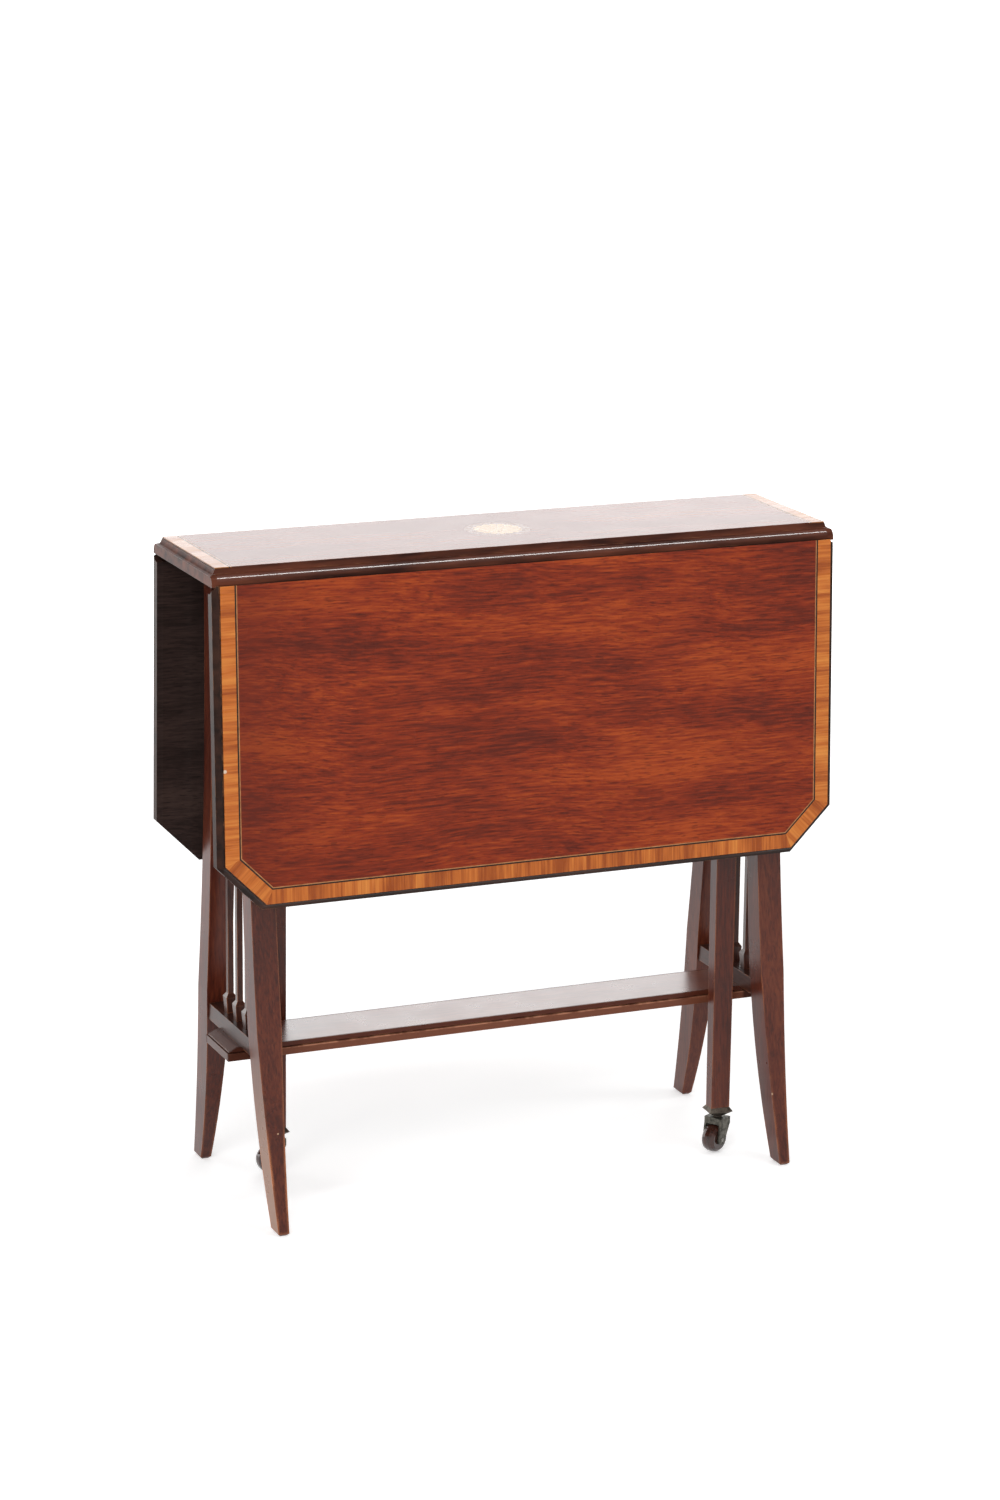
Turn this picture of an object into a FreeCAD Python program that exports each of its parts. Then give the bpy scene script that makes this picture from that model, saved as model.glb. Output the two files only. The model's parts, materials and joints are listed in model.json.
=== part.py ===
import FreeCAD, Part
import math
import os
import Sketcher
from FreeCAD import Placement, Rotation, Vector

# Sutherland table with both leaves hanging.  X runs along the table, the front
# leaf faces -Y, Z is up, and the origin is on the floor under the middle.

doc = FreeCAD.newDocument("SutherlandTable")
sheet = doc.addObject("Spreadsheet::Sheet", "Sizes")


class Size:
    """A number together with the sheet formula that gives it."""

    def __init__(self, value, formula):
        self.value = value
        self.formula = formula

    def __add__(self, other):
        other = as_size(other)
        return Size(self.value + other.value, "(%s + %s)" % (self.formula, other.formula))

    def __radd__(self, other):
        return as_size(other) + self

    def __sub__(self, other):
        other = as_size(other)
        return Size(self.value - other.value, "(%s - %s)" % (self.formula, other.formula))

    def __rsub__(self, other):
        return as_size(other) - self

    def __mul__(self, other):
        other = as_size(other)
        return Size(self.value * other.value, "(%s * %s)" % (self.formula, other.formula))

    def __rmul__(self, other):
        return as_size(other) * self

    def __truediv__(self, other):
        other = as_size(other)
        return Size(self.value / other.value, "(%s / %s)" % (self.formula, other.formula))

    def __neg__(self):
        return Size(-self.value, "(0 - %s)" % self.formula)


def as_size(item):
    if isinstance(item, Size):
        return item
    return Size(float(item), repr(float(item)))


def root(item):
    return Size(math.sqrt(item.value), "sqrt(%s)" % item.formula)


def size(alias, value):
    row = size.rows + 1
    size.rows = row
    sheet.set("A%d" % row, alias)
    sheet.set("B%d" % row, str(value))
    sheet.setAlias("B%d" % row, alias)
    return Size(float(value), "Sizes.%s" % alias)


size.rows = 0

# Top and leaves
top_length = size("top_length", 640)
table_height = size("table_height", 643.5)
board_thickness = size("board_thickness", 17)
hinge_span = size("hinge_span", 152)
leaf_reach = size("leaf_reach", 311.5)
leaf_hang = size("leaf_hang", 2.2)
leaf_cant = size("leaf_cant", 43.5)

# Rule joint between the fixed top and a leaf
pivot_lift = size("pivot_lift", 2)
rule_fillet = size("rule_fillet", 6.3)
rule_clearance = size("rule_clearance", 0.5)

# Edge moulding: fillet, ledge and cavetto above a square lower member
mould_fillet = size("mould_fillet", 1.8)
mould_ledge = size("mould_ledge", 0.9)
mould_cavetto = size("mould_cavetto", 5.3)

# Inlay
inlay_depth = size("inlay_depth", 0.8)
banding_width = size("banding_width", 13.8)
dark_line_width = size("dark_line_width", 1.4)
light_line_width = size("light_line_width", 1.0)
patera_radius = size("patera_radius", 32)
patera_border = size("patera_border", 7.5)

# Leaf hinges, two to each leaf
hinge_end_inset = size("hinge_end_inset", 115)
hinge_width = size("hinge_width", 32)
hinge_plate_thickness = size("hinge_plate_thickness", 1.5)
hinge_plate_reach = size("hinge_plate_reach", 21)
hinge_flap_reach = size("hinge_flap_reach", 37)
hinge_knuckle_radius = size("hinge_knuckle_radius", 2.2)
hinge_middle_knuckle = size("hinge_middle_knuckle", 12)
hinge_pin_radius = size("hinge_pin_radius", 1)
hinge_clearance = size("hinge_clearance", 0.4)
knuckle_gap = size("knuckle_gap", 0.2)
pin_clearance = size("pin_clearance", 0.05)

# Screws of the hinges and of the frame
screw_radius = size("screw_radius", 1.6)
screw_length = size("screw_length", 11)
screw_side_margin = size("screw_side_margin", 7)
plate_screw_margin = size("plate_screw_margin", 8)
flap_screw_margin = size("flap_screw_margin", 7)
flap_screw_step = size("flap_screw_step", 12)
frame_screw_radius = size("frame_screw_radius", 2)
top_screw_gap = size("top_screw_gap", 31)
top_screw_bite = size("top_screw_bite", 8)
stretcher_screw_bite = size("stretcher_screw_bite", 12)
block_screw_near = size("block_screw_near", 40)
block_screw_margin = size("block_screw_margin", 25)
block_screw_bite = size("block_screw_bite", 10)
screw_clearance = size("screw_clearance", 0.05)

# Sabre legs of the two end trestles
trestle_inset = size("trestle_inset", 54)
leg_width = size("leg_width", 25)
leg_pivot_gap = size("leg_pivot_gap", 17.5)
leg_top_depth = size("leg_top_depth", 21)
leg_straight = size("leg_straight", 66.5)
leaf_leg_gap = size("leaf_leg_gap", 3.6)
leg_taper_height = size("leg_taper_height", 190)
knee_height = size("knee_height", 150)
knee_depth = size("knee_depth", 28)
foot_kick = size("foot_kick", 32)
foot_width = size("foot_width", 11)
foot_depth = size("foot_depth", 21)
foot_chamfer = size("foot_chamfer", 2.2)

# Rails and stretcher
frame_rail_height = size("frame_rail_height", 45)
trestle_rail_thickness = size("trestle_rail_thickness", 20)
lower_rail_height = size("lower_rail_height", 16.5)
stretcher_top = size("stretcher_top", 161.5)
stretcher_gate_gap = size("stretcher_gate_gap", 5)
stretcher_band = size("stretcher_band", 7.5)
stretcher_upper = size("stretcher_upper", 5.5)
stretcher_ledge = size("stretcher_ledge", 1)
stretcher_quirk = size("stretcher_quirk", 1)
stretcher_quirk_depth = size("stretcher_quirk_depth", 2)
stretcher_bevel = size("stretcher_bevel", 8.6)
stretcher_overhang = size("stretcher_overhang", 13)
long_rail_thickness = size("long_rail_thickness", 18)
rail_leg_gap = size("rail_leg_gap", 0.5)
tenon_thickness = size("tenon_thickness", 8)
tenon_length = size("tenon_length", 12)
tenon_shoulder = size("tenon_shoulder", 6)
lower_tenon_length = size("lower_tenon_length", 10.4)
lower_tenon_shoulder = size("lower_tenon_shoulder", 2.5)
tenon_clearance = size("tenon_clearance", 0.1)

# Square spindles with spade feet, pegged into the trestle rails
spindle_leg_gap = size("spindle_leg_gap", 10.5)
spindle_square = size("spindle_square", 5.8)
spade_square = size("spade_square", 11)
spade_base_square = size("spade_base_square", 8.4)
spade_height = size("spade_height", 16)
spade_shoulder = size("spade_shoulder", 4)
peg_square = size("peg_square", 4.8)
peg_length = size("peg_length", 8)
peg_gap = size("peg_gap", 1)

# Gate legs on wooden knuckle hinges; the front gate stands a little open
gate_pivot_offset = size("gate_pivot_offset", 14)
front_gate_leg_gap = size("front_gate_leg_gap", 43.3)
front_gate_opening = size("front_gate_opening", 3)
back_gate_leg_gap = size("back_gate_leg_gap", 52)
gate_relief = size("gate_relief", 0.5)
gate_drop = size("gate_drop", 0.5)
gate_leg_width = size("gate_leg_width", 22)
gate_leg_drop = size("gate_leg_drop", 12)
gate_foot_width = size("gate_foot_width", 19.5)
gate_foot_depth = size("gate_foot_depth", 14)
hinge_block_length = size("hinge_block_length", 120)
hinge_block_thickness = size("hinge_block_thickness", 18)
gate_pin_radius = size("gate_pin_radius", 2.5)
gate_pin_floor = size("gate_pin_floor", 2)
knuckle_play = size("knuckle_play", 0.4)
finger_gap = size("finger_gap", 0.15)

# Castors under the gate legs
castor_plate_flare = size("castor_plate_flare", 4)
castor_plate_under = size("castor_plate_under", 5.2)
castor_side_lip = size("castor_side_lip", 2.75)
castor_front_lip = size("castor_front_lip", 3.5)
castor_neck_radius = size("castor_neck_radius", 4.5)
castor_neck_height = size("castor_neck_height", 1.5)
castor_stem_radius = size("castor_stem_radius", 3)
castor_stem_length = size("castor_stem_length", 20)
castor_swivel_gap = size("castor_swivel_gap", 0.2)
castor_trail = size("castor_trail", 5)
front_castor_yaw = size("front_castor_yaw", 212)
back_castor_yaw = size("back_castor_yaw", 8)
fork_crown_thickness = size("fork_crown_thickness", 6.6)
fork_crown_length = size("fork_crown_length", 16)
fork_cheek_thickness = size("fork_cheek_thickness", 2.2)
fork_end_radius = size("fork_end_radius", 5.5)
rivet_radius = size("rivet_radius", 4.2)
rivet_height = size("rivet_height", 1.6)
wheel_radius = size("wheel_radius", 14)
wheel_width = size("wheel_width", 15)
wheel_crown = size("wheel_crown", 3.2)
wheel_shoulder = size("wheel_shoulder", 5.2)
wheel_side_gap = size("wheel_side_gap", 0.5)
wheel_top_gap = size("wheel_top_gap", 1.2)
wheel_lift = size("wheel_lift", 0.3)
axle_radius = size("axle_radius", 1.75)
axle_head = size("axle_head", 0.6)

doc.recompute()

half_top = top_length / 2
pivot_drop = board_thickness - pivot_lift
pivot_y = hinge_span / 2
pivot_z = table_height - pivot_drop
top_under = table_height - board_thickness
ovolo = pivot_drop - rule_fillet
cove = ovolo + rule_clearance
mould_inset = mould_ledge + mould_cavetto
hinge_offset = half_top - hinge_end_inset
trestle_offset = half_top - trestle_inset
rail_low = top_under - frame_rail_height
leg_top_outer = pivot_y - leg_pivot_gap
leg_top_inner = leg_top_outer - leg_top_depth
long_rail_outer = leg_top_inner - rail_leg_gap
long_rail_inner = long_rail_outer - long_rail_thickness
long_rail_middle = (long_rail_outer + long_rail_inner) / 2
gate_line = long_rail_outer + hinge_block_thickness / 2
gate_thickness = hinge_block_thickness - 2 * gate_relief

ALONG_X = Rotation(Vector(1, 1, 1), 120)
ALONG_Y = Rotation(Vector(1, 0, 0), 90)
UPRIGHT = Rotation()


def bind(feature, path, item):
    feature.setExpression(path, as_size(item).formula)


def put(feature, x, y, z, rotation=UPRIGHT):
    feature.Placement = Placement(Vector(0, 0, 0), rotation)
    for axis, item in zip("xyz", (x, y, z)):
        bind(feature, "Placement.Base.%s" % axis, item)
    return feature


def box(name, x, y, z):
    feature = doc.addObject("Part::Box", name)
    for path, (low, high) in zip(("Length", "Width", "Height"), (x, y, z)):
        bind(feature, path, as_size(high) - low)
    return put(feature, x[0], y[0], z[0])


def cylinder(name, radius, length, start, rotation=UPRIGHT):
    feature = doc.addObject("Part::Cylinder", name)
    bind(feature, "Radius", radius)
    bind(feature, "Height", length)
    return put(feature, start[0], start[1], start[2], rotation)


def screw(name, radius, length, start, rotation=UPRIGHT, extra=0):
    """Plain eight-sided shank; extra widens it for the hole it goes into."""
    feature = doc.addObject("Part::Prism", name)
    feature.Polygon = 8
    bind(feature, "Circumradius", radius + extra)
    bind(feature, "Height", length)
    return put(feature, start[0], start[1], start[2], rotation)


def frustum(name, x, y, low, high, base, top):
    """Upright tapered block; base and top are its full widths along X and Y."""
    feature = doc.addObject("Part::Wedge", name)
    bind(feature, "Ymin", 0)
    bind(feature, "Ymax", as_size(high) - low)
    for mark, widths in (("", base), ("2", top)):
        for axis, width in zip("XZ", widths):
            bind(feature, "%s%smin" % (axis, mark), -as_size(width) / 2)
            bind(feature, "%s%smax" % (axis, mark), as_size(width) / 2)
    return put(feature, x, y, low, ALONG_Y)


def profile(name, corners):
    """Closed sketch; a third item in a corner is the radius of the arc that
    reaches it, positive where the arc turns to the left."""
    sketch = doc.addObject("Sketcher::SketchObject", name)
    points = [Vector(as_size(c[0]).value, as_size(c[1]).value, 0) for c in corners]
    starts = []
    ends = []
    for index, corner in enumerate(corners):
        first = points[index - 1]
        last = points[index]
        if len(corner) < 3:
            edge = sketch.addGeometry(Part.LineSegment(first, last))
            starts.append((edge, 1))
            ends.append((edge, 2))
            continue
        radius = abs(as_size(corner[2]).value)
        left = as_size(corner[2]).value > 0
        chord = last - first
        normal = Vector(-chord.y, chord.x, 0).normalize()
        rise = math.sqrt(max(radius ** 2 - chord.Length ** 2 / 4, 0))
        centre = (first + last) * 0.5 + normal * (rise if left else -rise)
        turn = [math.atan2(p.y - centre.y, p.x - centre.x) for p in (first, last)]
        if not left:
            turn.reverse()
        if turn[1] < turn[0]:
            turn[1] += 2 * math.pi
        circle = Part.Circle(centre, Vector(0, 0, 1), radius)
        edge = sketch.addGeometry(Part.ArcOfCircle(circle, turn[0], turn[1]))
        starts.append((edge, 1 if left else 2))
        ends.append((edge, 2 if left else 1))
        hold = sketch.addConstraint(Sketcher.Constraint("Radius", edge, radius))
        bind(sketch, "Constraints[%d]" % hold, corner[2] if left else -as_size(corner[2]))
    for index, corner in enumerate(corners):
        following = starts[(index + 1) % len(corners)]
        sketch.addConstraint(Sketcher.Constraint("Coincident", *ends[index], *following))
        for kind, item in zip(("DistanceX", "DistanceY"), corner[:2]):
            value = as_size(item).value
            hold = sketch.addConstraint(Sketcher.Constraint(kind, -1, 1, *ends[index], value))
            bind(sketch, "Constraints[%d]" % hold, item)
    return sketch


def prism(name, corners, length, rotation=UPRIGHT, start=(0, 0, 0), middle=False):
    feature = doc.addObject("Part::Extrusion", name)
    feature.Base = profile(name + "_profile", corners)
    feature.DirMode = "Normal"
    feature.Solid = True
    feature.Symmetric = middle
    bind(feature, "LengthFwd", length)
    return put(feature, start[0], start[1], start[2], rotation)


def cut(name, base, *tools):
    feature = doc.addObject("Part::Cut", name)
    feature.Base = base
    feature.Tool = tools[0] if len(tools) == 1 else fuse(name + "_tools", *tools)
    return feature


def fuse(name, *pieces):
    feature = doc.addObject("Part::MultiFuse", name)
    feature.Shapes = list(pieces)
    return feature


def common(name, first, second):
    feature = doc.addObject("Part::Common", name)
    feature.Base = first
    feature.Tool = second
    return feature


def group(name, *pieces):
    feature = doc.addObject("Part::Compound", name)
    feature.Links = list(pieces)
    return feature


def mirrored(name, source, normal):
    feature = doc.addObject("Part::Mirroring", name)
    feature.Source = source
    feature.Normal = normal
    return feature


def to_left(name, source):
    return mirrored(name, source, Vector(1, 0, 0))


def to_front(name, source):
    return mirrored(name, source, Vector(0, 1, 0))


def turned(name, source):
    """Copy turned half round the table's upright axis."""
    feature = group(name, source)
    feature.Placement = Placement(Vector(0, 0, 0), Rotation(Vector(0, 0, 1), 180))
    return feature


def both_ends(name, source):
    return group(name, source, to_left(name + "_left", source))


def all_corners(name, source):
    pair = both_ends(name + "_pair", source)
    return group(name, pair, to_front(name + "_front", pair))


nodes = []


def node(label, feature):
    feature.Label = label
    nodes.append(feature)
    return feature


def moulding_cutter(name, x, y, face, angle, length):
    """Waste outside the edge moulding of an edge that faces the angle."""
    spare = 2
    corners = [
        (-mould_inset, spare),
        (-mould_inset, -mould_fillet),
        (mould_ledge - mould_inset, -mould_fillet),
        (0, -mould_fillet - mould_cavetto, mould_cavetto),
        (spare, -mould_fillet - mould_cavetto),
        (spare, spare),
    ]
    facing = Rotation(Vector(0, 0, 1), angle).multiply(ALONG_Y)
    return prism(name, corners, length, facing, (x, y, face), middle=True)


# Leaf hinge, drawn with the leaf raised and the pin along X at the origin.
# Its plates lie flush with the underside of the boards.
knuckle_room = hinge_knuckle_radius + hinge_clearance
plate_low = -pivot_lift
plate_high = hinge_plate_thickness - pivot_lift
half_hinge = hinge_width / 2
half_middle = hinge_middle_knuckle / 2
flap_half = half_middle - knuckle_gap
hinge_x = (hinge_offset - half_hinge, hinge_offset + half_hinge)
outer_knuckles = (
    (hinge_offset - half_hinge, hinge_offset - half_middle),
    (hinge_offset + half_middle, hinge_offset + half_hinge),
)
middle_knuckle = (hinge_offset - flap_half, hinge_offset + flap_half)


def knuckle(name, x, y):
    strap = box(name + "_strap", x, y, (plate_low, plate_high))
    barrel = cylinder(name + "_barrel", hinge_knuckle_radius, x[1] - x[0], (x[0], 0, 0), ALONG_X)
    return fuse(name, strap, barrel)


def hinge_bore(name):
    return cylinder(name, hinge_pin_radius + pin_clearance, hinge_width,
                    (hinge_x[0], 0, 0), ALONG_X)


screw_spread = half_hinge - screw_side_margin
plate_screw_reach = hinge_plate_reach - plate_screw_margin
flap_screw_far = hinge_flap_reach - flap_screw_margin
plate_screw_spots = [
    (hinge_offset - screw_spread, -plate_screw_reach),
    (hinge_offset + screw_spread, -plate_screw_reach),
]
flap_screw_spots = [
    (hinge_offset, flap_screw_far - flap_screw_step),
    (hinge_offset - screw_spread, flap_screw_far),
    (hinge_offset + screw_spread, flap_screw_far),
]


def screw_set(name, spots, extra=0):
    screws = [screw("%s_%d" % (name, i), screw_radius, screw_length, (x, y, plate_low), UPRIGHT, extra)
              for i, (x, y) in enumerate(spots)]
    return group(name, *screws)


plate_blank = fuse(
    "plate_blank",
    box("plate_sheet", hinge_x, (-hinge_plate_reach, -knuckle_room), (plate_low, plate_high)),
    knuckle("plate_knuckle_a", outer_knuckles[0], (-knuckle_room, 0)),
    knuckle("plate_knuckle_b", outer_knuckles[1], (-knuckle_room, 0)))
plate_one = cut("plate_one", plate_blank, hinge_bore("plate_bore"),
                screw_set("plate_screw_holes", plate_screw_spots, screw_clearance))
flap_blank = fuse(
    "flap_blank",
    box("flap_sheet", hinge_x, (knuckle_room, hinge_flap_reach), (plate_low, plate_high)),
    knuckle("flap_knuckle", middle_knuckle, (0, knuckle_room)))
flap_one = cut("flap_one", flap_blank, hinge_bore("flap_bore"),
               screw_set("flap_screw_holes", flap_screw_spots, screw_clearance))
hinge_pin = cylinder("hinge_pin", hinge_pin_radius, hinge_width, (hinge_x[0], 0, 0), ALONG_X)
plate_screws = screw_set("plate_screws", plate_screw_spots)
flap_screws = screw_set("flap_screws", flap_screw_spots)


def on_top(feature):
    """Seat a hinge piece at the rear pivot line of the fixed top."""
    return put(feature, 0, pivot_y, pivot_z)


def on_leaf(feature):
    """Hang a piece of the rear leaf from its pivot line, a little out from upright."""
    fall = as_size(90) - leaf_hang
    hung = put(feature, 0, pivot_y, pivot_z, Rotation(Vector(-1, 0, 0), fall.value))
    bind(hung, "Placement.Rotation.Angle", fall)
    return hung


def four_on_top(name, source):
    return all_corners(name, on_top(group(name + "_seat", source)))


node("hinge_plates", four_on_top("hinge_plates", plate_one))
node("hinge_pins", four_on_top("hinge_pins", hinge_pin))
node("hinge_plate_screws", four_on_top("hinge_plate_screws", plate_screws))

# Fixed top: ovolo along both long edges, moulded ends, inlay and hinge housings
edge = pivot_y + ovolo
top_blank = prism("top_blank", [
    (-edge, top_under),
    (edge, top_under),
    (edge, pivot_z),
    (pivot_y, pivot_z + ovolo, ovolo),
    (pivot_y, table_height),
    (-pivot_y, table_height),
    (-pivot_y, pivot_z + ovolo),
    (-edge, pivot_z, ovolo),
], top_length, ALONG_X, (-half_top, 0, 0))
end_cutter = moulding_cutter("end_cutter", half_top, 0, table_height, 0, 3 * edge)
end_cutters = both_ends("end_cutters", end_cutter)

inlay_low = table_height - inlay_depth


def end_strip(name, inset, width):
    strip = box(name + "_strip", (half_top - inset - width, half_top - inset),
                (-pivot_y, pivot_y), (inlay_low, table_height))
    return both_ends(name, strip)


dark_inset = mould_inset + banding_width
light_inset = dark_inset + dark_line_width
field_inset = light_inset + light_line_width
top_bandings = node("top_bandings", end_strip("top_bandings", mould_inset, banding_width))
top_dark = node("top_dark_lines", end_strip("top_dark_lines", dark_inset, dark_line_width))
top_light = node("top_light_lines", end_strip("top_light_lines", light_inset, light_line_width))
patera_disc = cylinder("patera_disc", patera_radius, inlay_depth, (0, 0, inlay_low))
patera_fan = node("top_patera_fan", cylinder("top_patera_fan", patera_radius - patera_border,
                                             inlay_depth, (0, 0, inlay_low)))
patera_ground = node("top_patera_ground", cut("top_patera_ground", patera_disc, patera_fan))
end_recess = box("end_recess_strip", (half_top - field_inset, half_top - mould_inset),
                 (-pivot_y, pivot_y), (inlay_low, table_height))
end_recesses = both_ends("end_recesses", end_recess)
patera_recess = cylinder("patera_recess", patera_radius, inlay_depth, (0, 0, inlay_low))

housing_x = (hinge_x[0] - knuckle_gap, hinge_x[1] + knuckle_gap)
housing = fuse(
    "housing",
    box("housing_plate", housing_x, (-hinge_plate_reach - knuckle_gap, 0), (plate_low, plate_high)),
    box("housing_groove", housing_x, (-knuckle_room, knuckle_room), (plate_low, knuckle_room)),
    box("housing_flap", housing_x, (0, ovolo + rule_clearance), (plate_low, plate_high + knuckle_gap)))
housings = four_on_top("housings", housing)
pilot_holes = four_on_top("pilot_holes", screw_set("plate_pilots", plate_screw_spots, screw_clearance))

top_screw_offset = gate_pivot_offset + hinge_block_length + top_screw_gap


def top_screw(name, extra=0):
    """Screw up through a long rail into the fixed top."""
    return screw(name, frame_screw_radius, frame_rail_height + top_screw_bite,
                 (top_screw_offset, long_rail_middle, rail_low), UPRIGHT, extra)


node("top_screws", all_corners("top_screws", top_screw("top_screw_one")))
top_screw_holes = all_corners("top_screw_holes", top_screw("top_screw_hole", screw_clearance))
node("fixed_top", cut("fixed_top", top_blank, end_cutters, end_recesses, patera_recess, housings,
                      pilot_holes, top_screw_holes))

# Leaf, drawn raised about its pivot line: coved joint edge, canted corners,
# moulded edges and mitred crossbanding
lip = root(cove * cove - rule_clearance * rule_clearance)
leaf_section = prism("leaf_section", [
    (cove, plate_low),
    (leaf_reach, plate_low),
    (leaf_reach, pivot_drop),
    (rule_clearance, pivot_drop),
    (rule_clearance, lip),
    (cove, 0, -cove),
], top_length, ALONG_X, (-half_top, 0, 0))
leaf_outline = prism("leaf_outline", [
    (-half_top, 0),
    (half_top, 0),
    (half_top, leaf_reach - leaf_cant),
    (half_top - leaf_cant, leaf_reach),
    (leaf_cant - half_top, leaf_reach),
    (-half_top, leaf_reach - leaf_cant),
], board_thickness, UPRIGHT, (0, 0, plate_low))
leaf_board = common("leaf_board", leaf_section, leaf_outline)
cant_x = half_top - leaf_cant / 2
cant_y = leaf_reach - leaf_cant / 2
leaf_edges = [(half_top, 0, 0), (cant_x, cant_y, 45), (0, leaf_reach, 90),
              (-cant_x, cant_y, 135), (-half_top, 0, 180)]
leaf_cutters = [moulding_cutter("leaf_cutter_%d" % i, x, y, pivot_drop, angle, 3 * leaf_reach)
                for i, (x, y, angle) in enumerate(leaf_edges)]
for number, cutter in enumerate(leaf_cutters):
    leaf_board = cut("leaf_moulded_%d" % number, leaf_board, cutter)

CANT_SHARE = math.sqrt(2) - 1


def face_line(inset):
    """Open outline on the leaf's face at a distance inside its edge."""
    side = half_top - inset
    rise = leaf_reach - leaf_cant - CANT_SHARE * inset
    flat = half_top - leaf_cant - CANT_SHARE * inset
    end = leaf_reach - inset
    right = [(flat, end), (side, rise), (side, rule_clearance)]
    return [(-x, y) for x, y in reversed(right)] + right


def mitred_strips(name, inset, width):
    outer = face_line(inset)
    inner = face_line(inset + width)
    strips = [prism("%s_%d" % (name, i), [outer[i], outer[i + 1], inner[i + 1], inner[i]],
                    inlay_depth, UPRIGHT, (0, 0, pivot_drop - inlay_depth))
              for i in range(len(outer) - 1)]
    return group(name, *strips)


leaf_banding = mitred_strips("leaf_banding", mould_inset, banding_width)
leaf_dark = mitred_strips("leaf_dark", dark_inset, dark_line_width)
leaf_light = mitred_strips("leaf_light", light_inset, light_line_width)
for number, strips in enumerate((leaf_banding, leaf_dark, leaf_light)):
    leaf_board = cut("leaf_inlaid_%d" % number, leaf_board, strips)
flap_housing = box("flap_housing", housing_x, (0, hinge_flap_reach + knuckle_gap),
                   (plate_low, plate_high))
flap_pilots = screw_set("flap_pilots", flap_screw_spots, screw_clearance)
leaf_fitted = cut("leaf_fitted", leaf_board, both_ends("flap_housings", flap_housing),
                  both_ends("flap_pilot_holes", flap_pilots))

leaf_pieces = [
    ("leaf", leaf_fitted),
    ("leaf_banding", leaf_banding),
    ("leaf_dark_line", leaf_dark),
    ("leaf_light_line", leaf_light),
    ("hinge_flaps", both_ends("hinge_flaps", flap_one)),
    ("flap_screws", both_ends("flap_screws_both", flap_screws)),
]
for name, piece in leaf_pieces:
    rear = node("back_" + name, on_leaf(group("back_" + name, piece)))
    node("front_" + name, to_front("front_" + name, rear))


# End trestles: sabre legs, rails and spindles, drawn for the right-hand end
def tangent_arc(height, swing):
    """Radius of the arc that leaves the upright and swings out over the height."""
    return (height * height + swing * swing) / (2 * swing)


def arc_swing(radius, height):
    """How far such an arc has swung out over a part of its height."""
    return radius - root(radius * radius - height * height)


def onward_arc(radius, height, drop, swing):
    """Radius of the arc that carries on smoothly where such an arc ends at the
    height, and swings out further over the drop."""
    lean = height / radius
    fall = root(1 - lean * lean)
    return (drop * drop + swing * swing) / (2 * (swing * fall - drop * lean))


sabre_height = top_under - leg_straight
leaf_edge = pivot_z - leaf_reach
knee_drop = sabre_height - knee_height
shin = knee_height - foot_chamfer
outer_arc = tangent_arc(sabre_height - leaf_edge, leg_pivot_gap - pivot_lift - leaf_leg_gap)
knee_outer = leg_top_outer + arc_swing(outer_arc, knee_drop)
knee_inner = knee_outer - knee_depth
inner_arc = tangent_arc(knee_drop, knee_inner - leg_top_inner)
foot_outer = knee_outer + foot_kick
foot_inner = foot_outer - foot_depth
sabre_side = prism("sabre_side", [
    (leg_top_outer, top_under),
    (leg_top_inner, top_under),
    (leg_top_inner, sabre_height),
    (knee_inner, knee_height, inner_arc),
    (foot_inner, foot_chamfer, onward_arc(inner_arc, knee_drop, shin, foot_inner - knee_inner)),
    (foot_inner + foot_chamfer, 0),
    (foot_outer - foot_chamfer, 0),
    (foot_outer, foot_chamfer),
    (knee_outer, knee_height, -onward_arc(outer_arc, knee_drop, shin, foot_kick)),
    (leg_top_outer, sabre_height, -outer_arc),
], leg_width, ALONG_X, (trestle_offset, 0, 0), middle=True)
half_leg = leg_width / 2
half_foot = foot_width / 2
sabre_front = prism("sabre_front", [
    (half_leg, top_under),
    (-half_leg, top_under),
    (-half_leg, leg_taper_height),
    (-half_foot, foot_chamfer),
    (foot_chamfer - half_foot, 0),
    (half_foot - foot_chamfer, 0),
    (half_foot, foot_chamfer),
    (half_leg, leg_taper_height),
], 3 * foot_outer, ALONG_Y, (trestle_offset, 0, 0), middle=True)
leg_blank = common("leg_blank", sabre_side, sabre_front)

lower_rail_low = stretcher_top
lower_rail_high = stretcher_top + lower_rail_height
lower_rail_drop = sabre_height - (lower_rail_low + lower_rail_high) / 2
lower_tenon_end = leg_top_inner + arc_swing(inner_arc, lower_rail_drop) + lower_tenon_length
upper_tenon_end = leg_top_inner + tenon_length


def around(middle, width, extra=0):
    half = as_size(width) / 2 + extra
    return (middle - half, middle + half)


def upper_tenon(name, extra=0):
    return box(name, around(trestle_offset, tenon_thickness, extra),
               (-upper_tenon_end - extra, upper_tenon_end + extra),
               (rail_low + tenon_shoulder - extra, top_under - tenon_shoulder + extra))


def lower_tenon(name, extra=0):
    return box(name, around(trestle_offset, tenon_thickness, extra),
               (-lower_tenon_end - extra, lower_tenon_end + extra),
               (lower_rail_low + lower_tenon_shoulder - extra,
                lower_rail_high - lower_tenon_shoulder + extra))


def long_tenon(name, extra=0):
    inner_face = trestle_offset - trestle_rail_thickness / 2
    return box(name, (inner_face - tenon_length, inner_face + tenon_length + extra),
               around(long_rail_middle, tenon_thickness, extra),
               (rail_low + tenon_shoulder - extra, top_under - tenon_shoulder + extra))


leg_one = cut("back_right_leg", leg_blank, upper_tenon("upper_mortise", tenon_clearance),
              lower_tenon("lower_mortise", tenon_clearance))
node("back_right_leg", leg_one)
node("back_left_leg", to_left("back_left_leg", leg_one))
node("front_right_leg", to_front("front_right_leg", leg_one))
node("front_left_leg", to_left("front_left_leg", doc.getObject("front_right_leg")))

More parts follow.
